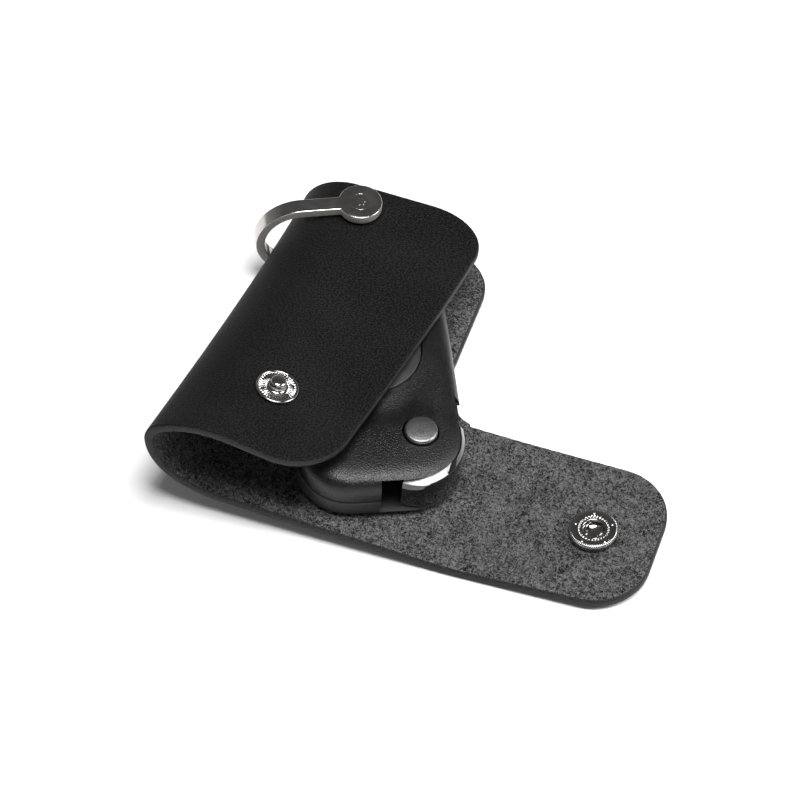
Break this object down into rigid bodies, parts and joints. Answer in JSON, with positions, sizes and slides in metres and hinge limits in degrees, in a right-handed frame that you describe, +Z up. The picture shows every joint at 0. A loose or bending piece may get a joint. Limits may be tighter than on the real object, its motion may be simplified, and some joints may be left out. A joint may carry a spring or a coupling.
{
  "type": "leather key organiser",
  "caption": "Folded black leather key wrap with a snap flap, a metal shackle on a screw post and a flip car key swung half out.",
  "frame": {"origin": "on the ground under the middle of the organiser as it lies open", "axes": "+X towards the open flap's tip, +Y towards the shackle's post, +Z up"},
  "size_m": [0.1285, 0.101, 0.033],
  "materials": {
    "leather": "black pebbled grain, suede flesh side",
    "polished_steel": "polished dark nickel",
    "snap_metal": "polished nickel",
    "shell_plastic": "satin black",
    "gloss_plastic": "piano black",
    "keypad_rubber": "matt black",
    "button_plastic": "satin black",
    "button_metal": "dark satin metal",
    "inner_steel": "plain steel",
    "circuit_board": "green lacquer"
  },
  "bodies": {
    "wrap": {"leather_back_panel": "leather", "leather_fold": "leather", "shackle_screw": "polished_steel", "post_sleeve": "polished_steel"},
    "front_cover": {"leather_front_panel": "leather", "snap_stud": "snap_metal", "snap_stud_post": "snap_metal"},
    "flap_side": {"leather_flap_side": "leather"},
    "flap": {"leather_flap": "leather", "snap_socket": "snap_metal", "snap_spring_left": "snap_metal", "snap_spring_right": "snap_metal", "snap_cap": "snap_metal"},
    "shackle": {"shackle": "polished_steel"},
    "ring": {"key_ring": "polished_steel"},
    "fob": {"fob_lower_shell": "shell_plastic", "fob_upper_shell": "shell_plastic", "fob_ring_pin": "polished_steel", "fob_case_screw": "inner_steel", "fob_keypad": "keypad_rubber", "fob_circuit_board": "circuit_board", "fob_coin_battery": "inner_steel", "battery_contact_low": "inner_steel", "battery_contact_high": "inner_steel", "release_button_spring": "inner_steel"},
    "blade": {"blade_hub": "gloss_plastic", "key_blade": "inner_steel", "blade_hub_spring": "inner_steel"},
    "release": {"release_button": "button_metal"},
    "lock": {"fob_lock_button": "button_plastic"},
    "unlock": {"fob_unlock_button": "button_plastic"},
    "boot": {"fob_boot_button": "button_plastic"}
  },
  "joints": [
    {"name": "flap_root", "type": "hinge", "parent": "wrap", "child": "flap_side", "pos_m": [-0.0026, 0, 0.0042], "axis": [-0.0941, -0.9956, 0], "range_deg": [0, 113.12], "deforming": ["leather_flap_side"]},
    {"name": "flap_tip", "type": "hinge", "parent": "flap_side", "child": "flap", "pos_m": [0.017, 0, 0.00273], "axis": [0.148, -0.9708, -0.1886], "range_deg": [0, 57.3]},
    {"name": "cover_press", "type": "hinge", "parent": "wrap", "child": "front_cover", "pos_m": [-0.026, 0.05045, 0.018], "axis": [1, 0, 0], "range_deg": [0, 1]},
    {"name": "ring_swing", "type": "hinge", "parent": "wrap", "child": "ring", "pos_m": [-0.03869, 0.0409, 0.01364], "axis": [0.0558, 0, 0.9984], "range_deg": [0, 22]},
    {"name": "fob_swing", "type": "hinge", "parent": "ring", "child": "fob", "pos_m": [-0.03546, 0.0283, 0.01232], "axis": [0.0698, 0, 0.9976], "range_deg": [-47, 0]},
    {"name": "shackle_swivel", "type": "hinge", "parent": "wrap", "child": "shackle", "pos_m": [-0.03872, 0.0409, 0.01314], "axis": [0.0558, 0, 0.9984], "range_deg": [-155, 0]},
    {"name": "blade_flip", "type": "hinge", "parent": "fob", "child": "blade", "pos_m": [-0.00091, -0.02244, 0.01071], "axis": [0.0698, 0, 0.9976], "range_deg": [-180, 0]},
    {"name": "release_press", "type": "slide", "parent": "fob", "child": "release", "axis": [-0.0698, 0, -0.9976], "range_m": [0, 0.001], "stiffness_N_per_m": 400, "deforming": ["release_button_spring"]},
    {"name": "lock_press", "type": "slide", "parent": "fob", "child": "lock", "axis": [-0.0698, 0, -0.9976], "range_m": [0, 0.0005], "stiffness_N_per_m": 400},
    {"name": "unlock_press", "type": "slide", "parent": "fob", "child": "unlock", "axis": [-0.0698, 0, -0.9976], "range_m": [0, 0.0005], "stiffness_N_per_m": 400},
    {"name": "boot_press", "type": "slide", "parent": "fob", "child": "boot", "axis": [-0.0698, 0, -0.9976], "range_m": [0, 0.0005], "stiffness_N_per_m": 400}
  ],
  "couplings": [
    {"joint": "flap_tip", "follows": "flap_root", "ratio": 0.50654},
    {"joint": "cover_press", "follows": "flap_root", "ratio": 0.0088399},
    {"joint": "ring_swing", "follows": "flap_root", "ratio": 0.19448},
    {"joint": "fob_swing", "follows": "flap_root", "ratio": -0.41548}
  ]
}
